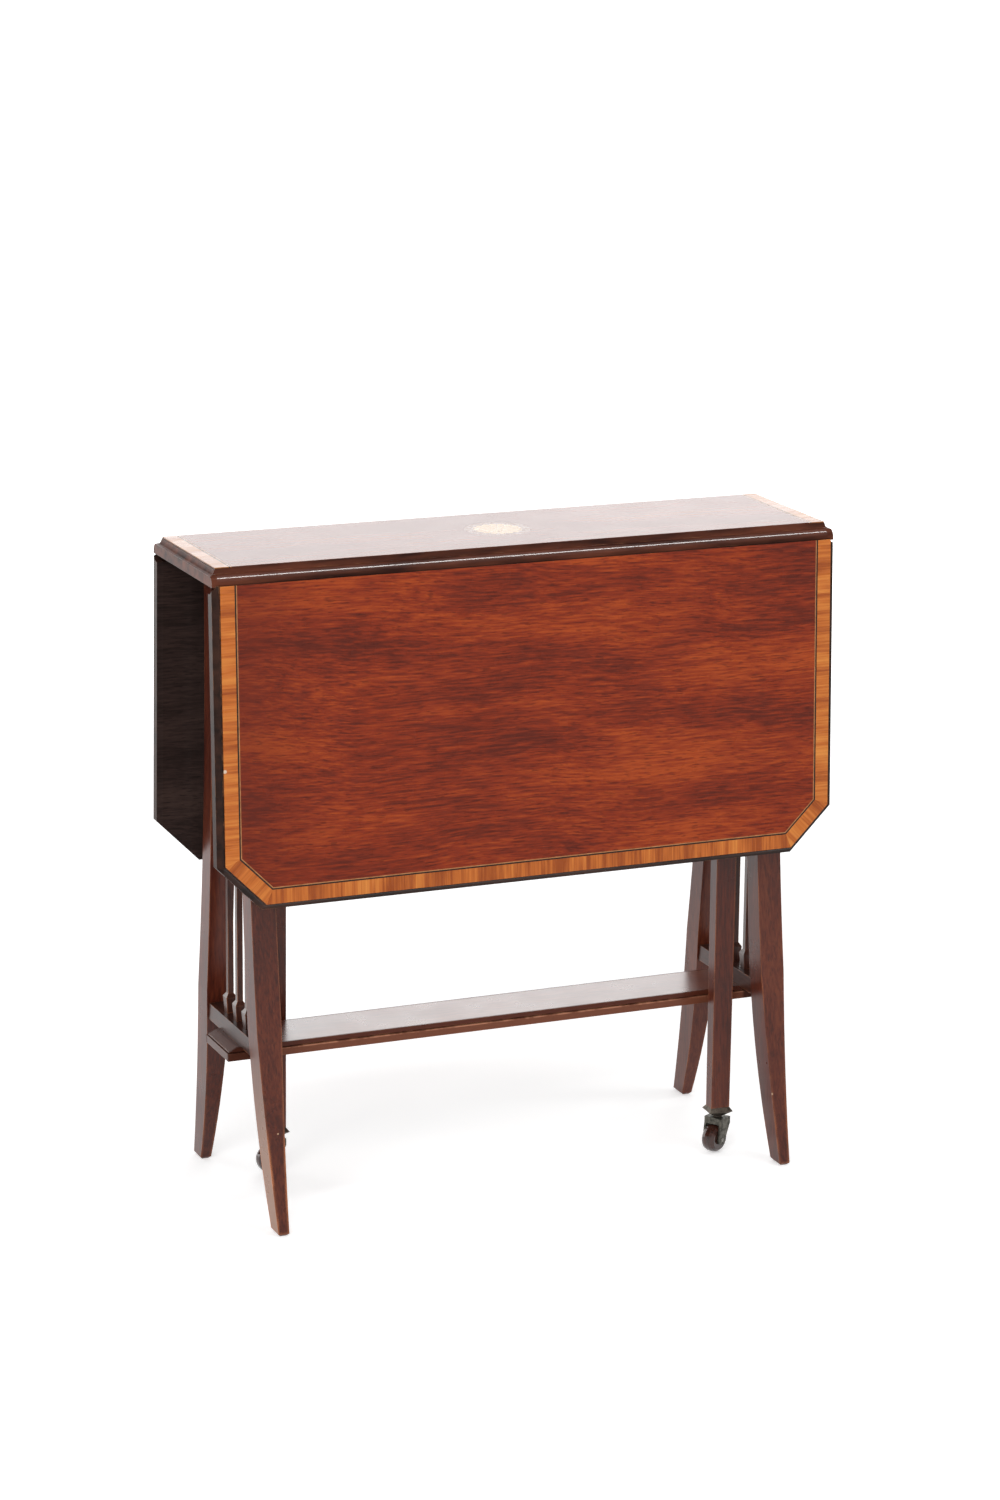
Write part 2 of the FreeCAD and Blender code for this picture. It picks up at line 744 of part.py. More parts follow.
trestle_rail_x = around(trestle_offset, trestle_rail_thickness)
spindle_spacing = leg_top_inner - spindle_leg_gap
spindle_rows = [-spindle_spacing, as_size(0), spindle_spacing]
head_peg_top = rail_low + tenon_shoulder - peg_gap
foot_peg_low = lower_rail_high - peg_length


def peg(name, y, low, high, extra=0):
    return box(name, around(trestle_offset, peg_square, extra), around(y, peg_square, extra), (low, high))


upper_pegs = fuse("upper_pegs", *[
    peg("upper_peg_%d" % i, y, rail_low, head_peg_top + tenon_clearance, tenon_clearance)
    for i, y in enumerate(spindle_rows)])
lower_pegs = fuse("lower_pegs", *[
    peg("lower_peg_%d" % i, y, foot_peg_low - tenon_clearance, lower_rail_high, tenon_clearance)
    for i, y in enumerate(spindle_rows)])

upper_rail_body = fuse(
    "upper_rail_body",
    box("upper_rail_bar", trestle_rail_x, (-leg_top_inner, leg_top_inner), (rail_low, top_under)),
    upper_tenon("upper_rail_tenon"))
rear_long_mortise = long_tenon("rear_long_mortise", tenon_clearance)
upper_rail = cut("right_upper_rail", upper_rail_body, rear_long_mortise,
                 to_front("front_long_mortise", rear_long_mortise), upper_pegs)
node("right_upper_rail", upper_rail)
node("left_upper_rail", to_left("left_upper_rail", upper_rail))

stretcher_low = stretcher_top - stretcher_band - stretcher_upper


def stretcher_screw(name, extra=0):
    """Screw up through the stretcher into a lower rail, between two spindles."""
    return screw(name, frame_screw_radius, stretcher_band + stretcher_upper + stretcher_screw_bite,
                 (trestle_offset, spindle_spacing / 2, stretcher_low), UPRIGHT, extra)


node("stretcher_screws", all_corners("stretcher_screws", stretcher_screw("stretcher_screw_one")))
stretcher_holes = all_corners("stretcher_holes", stretcher_screw("stretcher_hole", screw_clearance))

lower_rail_bar = box("lower_rail_bar", trestle_rail_x, (-lower_tenon_end, lower_tenon_end),
                     (lower_rail_low, lower_rail_high))
lower_rail_scribed = cut("lower_rail_scribed", lower_rail_bar, leg_blank,
                         to_front("leg_blank_front", leg_blank))
lower_rail_body = fuse("lower_rail_body", lower_rail_scribed, lower_tenon("lower_rail_tenon"))
lower_rail = cut("right_lower_rail", lower_rail_body, lower_pegs, stretcher_holes)
node("right_lower_rail", lower_rail)
node("left_lower_rail", to_left("left_lower_rail", lower_rail))

spade_top = lower_rail_high + spade_height
shoulder_top = spade_top + spade_shoulder
for place, y in zip(("front", "middle", "back"), spindle_rows):
    squares = [(w, w) for w in (spade_base_square, spade_square, spindle_square)]
    spot = (trestle_offset, y)
    spindle = fuse(
        "right_%s_spindle" % place,
        frustum("%s_spade" % place, *spot, lower_rail_high, spade_top, squares[0], squares[1]),
        frustum("%s_shoulder" % place, *spot, spade_top, shoulder_top, squares[1], squares[2]),
        box("%s_shaft" % place, around(trestle_offset, spindle_square), around(y, spindle_square),
            (shoulder_top, rail_low)),
        peg("%s_foot_peg" % place, y, foot_peg_low, lower_rail_high),
        peg("%s_head_peg" % place, y, rail_low, head_peg_top))
    node("right_%s_spindle" % place, spindle)
    node("left_%s_spindle" % place, to_left("left_%s_spindle" % place, spindle))

# Stretcher: flat board under the lower rails, grooved all round its edge and
# bevelled at its ends, with room for the gates to fold in beside it
stretcher_half = trestle_offset + trestle_rail_thickness / 2 + stretcher_overhang
half_board = gate_line - gate_thickness / 2 - stretcher_gate_gap
band_top = stretcher_low + stretcher_band
quirk_top = band_top + stretcher_quirk
stretcher_slab = box("stretcher_slab", (-stretcher_half, stretcher_half), (-half_board, half_board),
                     (stretcher_low, band_top))
upper_half = stretcher_half - stretcher_ledge
upper_board = half_board - stretcher_ledge
core_half = upper_half - stretcher_quirk_depth
core_board = upper_board - stretcher_quirk_depth
stretcher_core = box("stretcher_core", (-core_half, core_half), (-core_board, core_board),
                     (band_top, quirk_top))
stretcher_face = prism("stretcher_face", [
    (-upper_half, quirk_top),
    (upper_half, quirk_top),
    (upper_half - stretcher_bevel, stretcher_top),
    (stretcher_bevel - upper_half, stretcher_top),
], 2 * upper_board, ALONG_Y, middle=True)
node("stretcher", cut("stretcher", fuse("stretcher_board", stretcher_slab, stretcher_core, stretcher_face),
                      stretcher_holes))

# Long rails under the top, each with the fixed half of a knuckle hinge
rail_end = trestle_offset - trestle_rail_thickness / 2
rear_tenon = long_tenon("rear_tenon")
rear_rail_body = fuse(
    "rear_rail_body",
    box("rear_rail_bar", (-rail_end, rail_end), (long_rail_inner, long_rail_outer),
        (rail_low, top_under)),
    rear_tenon, to_left("rear_tenon_left", rear_tenon))
rear_rail_bored = cut("rear_rail_bored", rear_rail_body, top_screw_holes)

# Gates: drawn for the front, where the pivot stands left of the middle and the
# leg folds in beside the right-hand trestle; the back gate is turned half round
pivot_x = -gate_pivot_offset
gate_y = -gate_line
gate_top = top_under - gate_drop
finger_height = (gate_top - rail_low) / 5
shoulder = hinge_block_thickness / 2 + knuckle_play


def fingers(name, levels, radius, way):
    """Rounded knuckle fingers at some of the five levels; way is -1 for the
    fixed block and +1 for the gate."""
    pieces = []
    for level in levels:
        low = rail_low + level * finger_height + (finger_gap if level else 0)
        high = rail_low + (level + 1) * finger_height - finger_gap
        if level == 4:
            high = top_under
        reach = (pivot_x, pivot_x + shoulder) if way > 0 else (pivot_x - shoulder, pivot_x)
        pieces.append(box("%s_finger_%d" % (name, level), reach, around(gate_y, 2 * radius),
                          (low, high)))
        pieces.append(cylinder("%s_round_%d" % (name, level), radius, high - low,
                               (pivot_x, gate_y, low)))
    return pieces


def block_screws(name, extra=0):
    """Screws through the hinge block into its long rail."""
    outer = gate_y - hinge_block_thickness / 2
    inward = Rotation(Vector(1, 0, 0), -90)
    height = rail_low + frame_rail_height / 2
    distances = (block_screw_near, hinge_block_length - block_screw_margin)
    return group(name, *[
        screw("%s_%d" % (name, i), frame_screw_radius, hinge_block_thickness + block_screw_bite,
              (pivot_x - distance, outer, height), inward, extra)
        for i, distance in enumerate(distances)])


front_block_screws = block_screws("front_block_screws")
block_holes = block_screws("block_holes", screw_clearance)
node("hinge_block_screws", group("hinge_block_screws", front_block_screws,
                                 turned("back_block_screws", front_block_screws)))
back_rail = cut("back_long_rail", rear_rail_bored, turned("back_block_holes", block_holes))
node("back_long_rail", back_rail)
node("front_long_rail", turned("front_long_rail", back_rail))

block_body = fuse(
    "block_body",
    box("block_bar", (pivot_x - hinge_block_length, pivot_x - shoulder),
        around(gate_y, hinge_block_thickness), (rail_low, top_under)),
    *fingers("block", (0, 2, 4), hinge_block_thickness / 2, -1))
pin_low = rail_low + gate_pin_floor
gate_pin_length = top_under - pin_low
gate_pin = cylinder("gate_pin", gate_pin_radius, gate_pin_length, (pivot_x, gate_y, pin_low))
gate_bore = cylinder("gate_bore", gate_pin_radius + pin_clearance, gate_pin_length,
                     (pivot_x, gate_y, pin_low))
hinge_block = cut("hinge_block", block_body, gate_bore, block_holes)

# Heights of the castor, counted up from the floor; the rivet that holds the
# fork lies in a recess under its crown
axle_z = wheel_radius + wheel_lift
crown_low = axle_z + wheel_radius + wheel_top_gap
rivet_low = crown_low + castor_swivel_gap
rivet_high = rivet_low + rivet_height
crown_high = crown_low + fork_crown_thickness
neck_low = crown_high + castor_swivel_gap
plate_bottom = neck_low + castor_neck_height
flare_low = plate_bottom + castor_plate_under
castor_height = flare_low + castor_plate_flare


def gate_tenon(name, leg_offset, extra=0):
    rail_tip = leg_offset - gate_leg_width / 2
    return box(name, (rail_tip - tenon_length, rail_tip + tenon_length + extra),
               around(gate_y, tenon_thickness, extra),
               (rail_low + tenon_shoulder - extra, gate_top - tenon_shoulder + extra))


def gate_rail(side, leg_offset):
    name = side + "_rail"
    body = fuse(
        name + "_body",
        box(name + "_bar", (pivot_x + shoulder, leg_offset - gate_leg_width / 2),
            around(gate_y, gate_thickness), (rail_low, gate_top)),
        gate_tenon(name + "_tenon", leg_offset),
        *fingers(name, (1, 3), gate_thickness / 2, 1))
    return cut(name + "_bored", body, gate_bore)


def gate_leg(side, leg_offset):
    name = side + "_leg"
    head_low = gate_top - frame_rail_height - gate_leg_drop
    body = fuse(
        name + "_body",
        box(name + "_head", around(leg_offset, gate_leg_width), around(gate_y, gate_thickness),
            (head_low, gate_top)),
        frustum(name + "_shaft", leg_offset, gate_y, castor_height, head_low,
                (gate_foot_width, gate_foot_depth), (gate_leg_width, gate_thickness)))
    stem_hole = cylinder(name + "_stem_hole", castor_stem_radius + screw_clearance,
                         castor_stem_length + screw_clearance, (leg_offset, gate_y, castor_height))
    return cut(name + "_mortised", body, gate_tenon(name + "_mortise", leg_offset, tenon_clearance),
               stem_hole)


def castor_plate(side, leg_offset):
    """Flared plate with the stem above it, and the pintle and rivet below."""
    name = side + "_plate"
    spot = (leg_offset, gate_y)
    neck_width = 2 * castor_neck_radius
    foot = (gate_foot_width, gate_foot_depth)
    lip = (gate_foot_width + 2 * castor_side_lip, gate_foot_depth + 2 * castor_front_lip)
    return fuse(
        name + "_solid",
        frustum(name + "_flare", *spot, flare_low, castor_height, lip, foot),
        frustum(name + "_under", *spot, plate_bottom, flare_low, (neck_width, neck_width), lip),
        cylinder(name + "_neck", castor_neck_radius, castor_neck_height, (*spot, neck_low)),
        cylinder(name + "_stem", castor_stem_radius, castor_stem_length, (*spot, castor_height)),
        cylinder(name + "_pintle", castor_stem_radius, neck_low - rivet_high, (*spot, rivet_high)),
        cylinder(name + "_rivet", rivet_radius, rivet_height, (*spot, rivet_low)))


# Castor fork, axle and barrel wheel, drawn with the swivel at the origin
cheek_inner = wheel_width / 2 + wheel_side_gap
cheek_outer = cheek_inner + fork_cheek_thickness
half_crown = fork_crown_length / 2
cheek = prism("cheek", [
    (half_crown, crown_high),
    (-half_crown, crown_high),
    (-half_crown, crown_low),
    (castor_trail - fork_end_radius, axle_z),
    (castor_trail, axle_z - fork_end_radius, fork_end_radius),
    (castor_trail + fork_end_radius, axle_z, fork_end_radius),
    (half_crown, crown_low),
], fork_cheek_thickness, ALONG_Y, (0, cheek_outer, 0))
crown = box("crown", (-half_crown, half_crown), (-cheek_outer, cheek_outer), (crown_low, crown_high))
axle_length = 2 * cheek_outer + 2 * axle_head
axle = cylinder("axle", axle_radius, axle_length, (castor_trail, axle_length / 2, axle_z), ALONG_Y)
axle_hole = cylinder("axle_hole", axle_radius + pin_clearance, axle_length,
                     (castor_trail, axle_length / 2, axle_z), ALONG_Y)
pintle_hole = cylinder("pintle_hole", castor_stem_radius + pin_clearance, castor_height,
                       (0, 0, axle_z))
rivet_recess = cylinder("rivet_recess", rivet_radius + castor_swivel_gap,
                        rivet_high + castor_swivel_gap - crown_low, (0, 0, crown_low))
fork = cut("fork", fuse("fork_body", crown, cheek, to_front("cheek_front", cheek)), axle_hole,
           pintle_hole, rivet_recess)
half_tread = wheel_width / 2
half_flat = half_tread - wheel_shoulder
wheel_edge = wheel_radius - wheel_crown
barrel_bend = half_flat + 0.58 * wheel_shoulder
barrel_edge = wheel_radius - 0.27 * wheel_crown
wheel = doc.addObject("Part::Revolution", "wheel")
wheel.Source = profile("wheel_profile", [
    (-half_tread, axle_radius + pin_clearance),
    (half_tread, axle_radius + pin_clearance),
    (half_tread, wheel_edge),
    (barrel_bend, barrel_edge),
    (half_flat, wheel_radius),
    (-half_flat, wheel_radius),
    (-barrel_bend, barrel_edge),
    (-half_tread, wheel_edge),
])
wheel.Axis = Vector(1, 0, 0)
wheel.Angle = 360
wheel.Solid = True
put(wheel, castor_trail, 0, axle_z, Rotation(Vector(0, 0, 1), 90))


def swivelled(name, source, x, y, angle, axis=Vector(0, 0, 1)):
    """Turn a piece about the upright through its origin and set it down at a spot."""
    feature = put(group(name, source), x, y, 0)
    feature.Placement = Placement(Vector(0, 0, 0), Rotation(axis, angle.value))
    bind(feature, "Placement.Rotation.Angle", angle)
    return feature


def opened(name, source):
    """Swing a piece of the front gate out about its knuckle hinge, to where it stands."""
    at_pivot = put(group(name + "_at_pivot", source), -pivot_x, -gate_y, 0)
    return swivelled(name, at_pivot, pivot_x, gate_y, front_gate_opening, Vector(0, 0, -1))


gates = [
    ("front", front_gate_leg_gap, front_castor_yaw, group, opened),
    ("back", back_gate_leg_gap, back_castor_yaw, turned, turned),
]
for side, leg_gap, yaw, place_fixed, place_swinging in gates:
    leg_offset = trestle_offset - leg_gap
    fixed = [("gate_pin", gate_pin), ("hinge_block", hinge_block)]
    swinging = [
        ("gate_rail", gate_rail(side, leg_offset)),
        ("gate_leg", gate_leg(side, leg_offset)),
        ("castor_plate", castor_plate(side, leg_offset)),
        ("castor_fork", swivelled(side + "_fork", fork, leg_offset, gate_y, yaw)),
        ("castor_axle", swivelled(side + "_axle", axle, leg_offset, gate_y, yaw)),
        ("castor_wheel", swivelled(side + "_wheel", wheel, leg_offset, gate_y, yaw)),
    ]
    for place, pieces in ((place_fixed, fixed), (place_swinging, swinging)):
        for name, piece in pieces:
            label = "%s_%s" % (side, name)
            node(label, place(label, piece))

doc.recompute()

for feature in doc.Objects:
    state = " ".join(feature.State)
    if "Invalid" in state or "Error" in state:
        raise RuntimeError("%s is not built: %s" % (feature.Name, state))
for feature in nodes:
    if feature.Shape.isNull() or not feature.Shape.isValid() or not feature.Shape.Solids:
        raise RuntimeError("%s has no valid solid" % feature.Label)

os.makedirs("parts", exist_ok=True)
for feature in nodes:
    feature.Shape.exportStep("parts/%s.step" % feature.Label)
    print(feature.Label, len(feature.Shape.Solids), round(feature.Shape.Volume, 1))
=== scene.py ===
import json
import math

import bpy
from mathutils import Matrix, Vector


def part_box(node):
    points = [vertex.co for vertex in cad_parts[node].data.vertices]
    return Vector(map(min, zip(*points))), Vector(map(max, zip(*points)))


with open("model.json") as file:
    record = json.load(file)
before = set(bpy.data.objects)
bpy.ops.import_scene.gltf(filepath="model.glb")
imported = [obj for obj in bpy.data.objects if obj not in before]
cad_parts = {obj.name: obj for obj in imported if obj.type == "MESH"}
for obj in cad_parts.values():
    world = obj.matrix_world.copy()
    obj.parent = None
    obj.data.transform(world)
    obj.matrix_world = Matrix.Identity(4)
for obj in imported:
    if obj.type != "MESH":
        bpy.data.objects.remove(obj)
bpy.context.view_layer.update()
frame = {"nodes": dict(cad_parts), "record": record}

X, Y, Z = 0, 1, 2

# Sizes, in metres
TOP_LOW, TOP_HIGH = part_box("fixed_top")
FAN_LOW, FAN_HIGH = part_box("top_patera_fan")
FAN_RADIUS = (FAN_HIGH.x - FAN_LOW.x) / 2
LEAF_CANT = 0.0435
LEAF_HANG = math.radians(2.2)
LEAF_REACH = 0.3115
LEAF_FACE, LEAF_BACK = 0.015, -0.002
PIVOT_OUT, PIVOT_HEIGHT = 0.076, 0.6285
OVOLO_LOW, OVOLO_TOP = (PIVOT_HEIGHT + 0.002, PIVOT_HEIGHT + 0.005), 0.6372
OVOLO_BLUR = 0.0002
MOULDED_END = (TOP_HIGH.x - 0.0068, TOP_HIGH.x - 0.0060)
FACE_DEPTH = 0.0004

# Wood tones: dark, middle and light grain, then the pores
FIELD = ((0.122, 0.0205, 0.0118), (0.260, 0.0345, 0.0134),
         (0.427, 0.0720, 0.0180), (0.064, 0.0115, 0.0080))
# Darker, duller copy of the field tones for the fixed top: painted shade, standing in for weaker
# light on the top's face
TOP_FIELD_SHADED = ((0.122, 0.0235, 0.0115), (0.165, 0.0340, 0.0155),
         (0.215, 0.0540, 0.0225), (0.100, 0.0190, 0.0100))
FRAME = ((0.056, 0.0110, 0.0060), (0.100, 0.0190, 0.0085),
         (0.150, 0.0340, 0.0135), (0.036, 0.0080, 0.0046))
BRIGHT = ((0.120, 0.0290, 0.0150), (0.165, 0.0420, 0.0210),
          (0.215, 0.0590, 0.0290), (0.095, 0.0220, 0.0110))
# Darker, more neutral copy of the frame tones for the rails, the spindles and the stretcher's
# ends: painted shade of the table's inside
SHADED = ((0.032, 0.0110, 0.0075), (0.057, 0.0180, 0.0115),
          (0.086, 0.0270, 0.0165), (0.019, 0.0078, 0.0060))
# Tones of the boards' hidden sides: plainer unpolished wood, darkened to a near-black neutral as
# painted shade
HIDDEN = ((0.026, 0.0170, 0.0150), (0.042, 0.0260, 0.0230),
          (0.060, 0.0370, 0.0310), (0.016, 0.0110, 0.0100))

# Satinwood tones: dark, middle and light
SATINWOOD = ((0.340, 0.072, 0.012), (0.585, 0.160, 0.029), (0.760, 0.280, 0.058))
# Darker copy of the satinwood tones for the top's end bandings: painted shade, like the top's
# field tones
TOP_SATINWOOD_SHADED = ((0.300, 0.088, 0.016), (0.380, 0.130, 0.025), (0.460, 0.185, 0.042))

# Moulded edges: dark and reddish
TOP_EDGES = ((0.036, 0.0125, 0.0090), (0.150, 0.0450, 0.0250))
LEAF_EDGES = ((0.020, 0.0130, 0.0110), (0.060, 0.0270, 0.0190))

# Worn, rubbed and knocked places, with painted glints on arrises, a painted highlight on the
# top's end rims, and a painted red reflection on a leg
EDGE_WEAR_AND_GLINT = (0.300, 0.1300, 0.0600)
ARRIS_WORN = (0.700, 0.2500, 0.1000)
RIM_HIGHLIGHT = (0.36, 0.320, 0.300)
RUBBED = (0.330, 0.1600, 0.0950)
RED_REFLECTION = (0.300, 0.0480, 0.0240)
KNOCK = (0.55, 0.36, 0.22)
CHIP = (0.74, 0.58, 0.44)

# The stretcher's sides: a dark upper band painted as shadow, a lower band of the wood's own tone,
# and a painted highlight along the rim between them
UPPER_SIDE_SHADOW = (0.080, 0.0200, 0.0110)
BAND_SIDE = (0.200, 0.0700, 0.0380)
BAND_RIM_HIGHLIGHT = (0.560, 0.2500, 0.1500)

# Layers of the grain: turns to the metre across and along it
CLOUDS, STREAKS, THREADS, PORES = (22.0, 4.0), (300.0, 16.0), (560.0, 40.0), (700.0, 80.0)
GRAIN_STOPS = (0.40, 0.50, 0.61)

# Wear along arrises, which on the boards also stands for painted glints: how far it reaches in
# metres, and the cosines of the turn at which it is full and at which it ends
THIN_WEAR = (0.0022, 0.80, 0.99)
BROAD_WEAR = (0.0045, 0.88, 0.995)
BOARD_WEAR_AND_GLINT = (0.0010, 0.75, 0.99)
METAL_WEAR = (0.0008, 0.6, 0.99)
GLAZE_WEAR = (0.0006, 0.7, 0.99)

# Wear of the feet: heights between which it grows, and its growth towards the
# front and the left
FOOT_WEAR = (0.17, 0.02)
FRONT_WEAR = (-0.070, -0.086, 0.3, 1.0)
LEFT_WEAR = (-0.05, 0.20, 1.0, 0.45)

# A normal's share along the table at which a face counts as an end
END_FACE = (0.6, 0.9)


class Shader:
    """A procedural material under construction."""

    def __init__(self, name, **sockets):
        self.material = bpy.data.materials.new(name)
        self.material.use_nodes = True
        self.tree = self.material.node_tree
        self.surface = self.tree.nodes["Principled BSDF"]
        for socket, value in sockets.items():
            self.set(socket.replace("_", " "), value)

    def feed(self, socket, item):
        if isinstance(item, bpy.types.NodeSocket):
            self.tree.links.new(item, socket)
        else:
            socket.default_value = item

    def set(self, socket, item):
        self.feed(self.surface.inputs[socket], item)

    def add(self, kind, inputs, **settings):
        node = self.tree.nodes.new("ShaderNode" + kind)
        for key, value in settings.items():
            setattr(node, key, value)
        for key, item in inputs.items():
            self.feed(node.inputs[key], item)
        return node

    def place(self):
        return self.add("TexCoord", {}).outputs["Object"]

    def parts(self, vector):
        return self.add("SeparateXYZ", {0: vector}).outputs

    def join(self, x, y, z):
        return self.add("CombineXYZ", {0: x, 1: y, 2: z}).outputs[0]

    def math(self, kind, first, second=0.0):
        return self.add("Math", {0: first, 1: second}, operation=kind).outputs[0]

    def times(self, first, *others):
        """Product of values."""
        for other in others:
            first = self.math("MULTIPLY", first, other)
        return first

    def weigh(self, *terms):
        """Sum of values, each times its share."""
        total, *others = [self.times(value, share) for value, share in terms]
        for other in others:
            total = self.math("ADD", total, other)
        return total

    def scale(self, vector, factors):
        node = self.add("VectorMath", {0: vector, 1: factors}, operation="MULTIPLY")
        return node.outputs[0]

    def fade(self, value, low, high, start=0.0, end=1.0):
        """Smooth step from start to end as the value goes from low to high."""
        step = self.add("MapRange", {"Value": value, "From Min": low, "From Max": high,
                                     "To Min": start, "To Max": end},
                        interpolation_type="SMOOTHSTEP")
        return step.outputs[0]

    def spread(self, noise, start, end):
        """The usual span of a noise drawn out from start to end."""
        return self.fade(noise, 0.3, 0.7, start, end)

    def noise(self, vector, detail=2.0, roughness=0.5, distortion=0.0):
        node = self.add("TexNoise", {"Vector": vector, "Scale": 1.0, "Detail": detail,
                                     "Roughness": roughness, "Distortion": distortion})
        return node.outputs[0]

    def mottle(self, turns, detail=3.0, roughness=0.6):
        """Noise alike in all directions, with so many turns to the metre."""
        return self.noise(self.scale(self.place(), (turns,) * 3), detail, roughness)

    def mix(self, factor, first, second):
        node = self.add("Mix", {0: factor}, data_type="RGBA")
        for socket, item in ((node.inputs[6], first), (node.inputs[7], second)):
            self.feed(socket, (*item, 1.0) if isinstance(item, tuple) else item)
        return node.outputs[2]

    def ramp(self, value, *stops):
        node = self.add("ValToRGB", {0: value})
        elements = node.color_ramp.elements
        while len(elements) < len(stops):
            elements.new(0.5)
        for element, (position, colour) in zip(elements, stops):
            element.position = position
            element.color = (*colour, 1.0)
        return node.outputs[0]

    def bump(self, height, strength, distance, radius):
        """Surface relief over arrises eased by the radius."""
        eased = self.add("Bevel", {"Radius": radius}, samples=4).outputs[0]
        relief = self.add("Bump", {"Height": height, "Strength": strength,
                                   "Distance": distance, "Normal": eased})
        self.set("Normal", relief.outputs[0])

    def spot(self, centre, radius, core=0.6):
        """1 about a point, out to a share of the radius, and 0 beyond the radius."""
        away = self.add("VectorMath", {0: self.place(), 1: centre}, operation="DISTANCE")
        return self.fade(away.outputs["Value"], radius, radius * core)

    def edge(self, radius, full, none):
        """1 along the arrises and 0 on the flats."""
        rounded = self.add("Bevel", {"Radius": radius}, samples=6).outputs[0]
        true = self.add("NewGeometry", {}).outputs["Normal"]
        along = self.add("VectorMath", {0: rounded, 1: true}, operation="DOT_PRODUCT")
        return self.fade(along.outputs["Value"], none, full)


def wandering(shader, along):
    """Object space with the grain leaning a little and wandering off its line."""
    place = shader.place()
    drift = shader.mottle(4.0, 2.0, 0.5)
    lean = shader.weigh((drift, 0.030), (shader.parts(place)[along], 0.035))
    shift = [lean, lean, lean]
    shift[along] = 0.0
    moved = shader.add("VectorMath", {0: place, 1: shader.join(*shift)}, operation="ADD")
    return moved.outputs[0]


def wood_figure(shader, along, dark, middle, light, pore):
    """Colour of straight-grained wood with short dark pores, and its relief."""
    space = wandering(shader, along)

    def layer(turns, *settings):
        across_grain, along_grain = turns
        factors = [across_grain] * 3
        factors[along] = along_grain
        return shader.noise(shader.scale(space, tuple(factors)), *settings)

    threads = layer(THREADS, 2.0, 0.6)
    blend = shader.weigh((layer(CLOUDS, 3.0, 0.55, 0.2), 0.44),
                         (layer(STREAKS, 3.0, 0.6), 0.22), (threads, 0.34))
    colour = shader.ramp(blend, *zip(GRAIN_STOPS, (dark, middle, light)))
    pores = shader.fade(layer(PORES, 1.0, 0.5), 0.56, 0.70)
    colour = shader.mix(shader.times(pores, 0.5), colour, pore)
    return colour, shader.weigh((threads, 0.5), (pores, -1.0))


def stretcher_sides(shader, colour, shine, patches, corner):
    """Colour and shine of a board with two dull bands along its sides, the upper one
    painted dark as shadow, a painted highlight on the rim between them, and ends painted dark as
    shade; corner is its far upper corner."""
    x, y, z = shader.parts(shader.place())
    band_top, blur = 0.1560, 0.0004
    rim_low, rim_high = band_top - 0.0016, band_top - 0.0008
    side_start, side_full = corner.y - 0.0036, corner.y - 0.0026
    end_start, end_full = corner.x - 0.030, corner.x - 0.026
    side_tint, side_shine, end_shade, end_shine = 0.8, 0.15, 0.85, 0.4
    on_side = shader.fade(shader.math("ABSOLUTE", y), side_start, side_full)
    above = shader.fade(z, band_top, band_top + blur)
    # The upper band's dark colour is painted shadow, and the rim's pale patches are a painted
    # highlight
    rim_highlight = shader.times(shader.fade(z, rim_low, rim_high), patches)
    sides = shader.mix(above, shader.mix(rim_highlight, BAND_SIDE, BAND_RIM_HIGHLIGHT), UPPER_SIDE_SHADOW)
    colour = shader.mix(shader.times(on_side, side_tint), colour, sides)
    # Beyond the trestles the stretcher's ends take the darker tone as painted shade
    shaded_end = shader.fade(shader.math("ABSOLUTE", x), end_start, end_full, 0.0, end_shade)
    colour = shader.mix(shaded_end, colour, SHADED[1])
    shine = shader.fade(on_side, 0.0, 1.0, shine, side_shine)
    return colour, shader.times(shine, shader.fade(shaded_end, 0.0, end_shade, 1.0, end_shine))


def dark_wood(name, along, tones=FRAME, shine=0.3, relief=0.05, wear=0.4, marks=(), rubbed=(),
              corner=None, end_shine=None):
    """Polished frame wood, worn to a paler colour along its arrises and most
    on the front feet; marks are small knocks, each a point and a radius;
    rubbed spots and spots of painted reflection lie on faces that look along the table and have a
    colour too;
    corner is the stretcher's, and end_shine goes for faces along the table."""
    shader = Shader(name)
    colour, height = wood_figure(shader, along, *tones)
    place = shader.place()
    x, y, z = shader.parts(place)
    patches = shader.noise(shader.scale(place, (60.0, 60.0, 22.0)), 3.0, 0.6)
    patches = shader.fade(patches, 0.36, 0.60)
    thin = shader.times(shader.edge(*THIN_WEAR), shader.times(patches, wear))
    broad = shader.times(shader.edge(*BROAD_WEAR), shader.fade(z, *FOOT_WEAR),
                         shader.fade(patches, 0.0, 1.0, 0.35, 0.95),
                         shader.fade(y, *FRONT_WEAR), shader.fade(x, *LEFT_WEAR))
    normal = shader.add("TexCoord", {}).outputs["Normal"]
    toward_end = shader.math("ABSOLUTE", shader.parts(normal)[X])
    for centre, radius, tint in rubbed:
        rub_and_reflection = shader.times(shader.spot(centre, radius, 0.15), shader.fade(toward_end, *END_FACE))
        colour = shader.mix(rub_and_reflection, colour, tint)
    colour = shader.mix(shader.math("MAXIMUM", thin, broad), colour, ARRIS_WORN)
    for centre, radius in marks:
        colour = shader.mix(shader.spot(centre, radius), colour, KNOCK)
    if corner:
        colour, shine = stretcher_sides(shader, colour, shine, patches, corner)
    if end_shine:
        shine = shader.fade(toward_end, *END_FACE, shine, end_shine)
    shader.set("Base Color", colour)
    shader.set("Roughness", shader.spread(shader.mottle(26.0), 0.27, 0.31))
    shader.set("Specular IOR Level", shine)
    shader.bump(height, relief, 0.0003, 0.0008)
    return shader.material


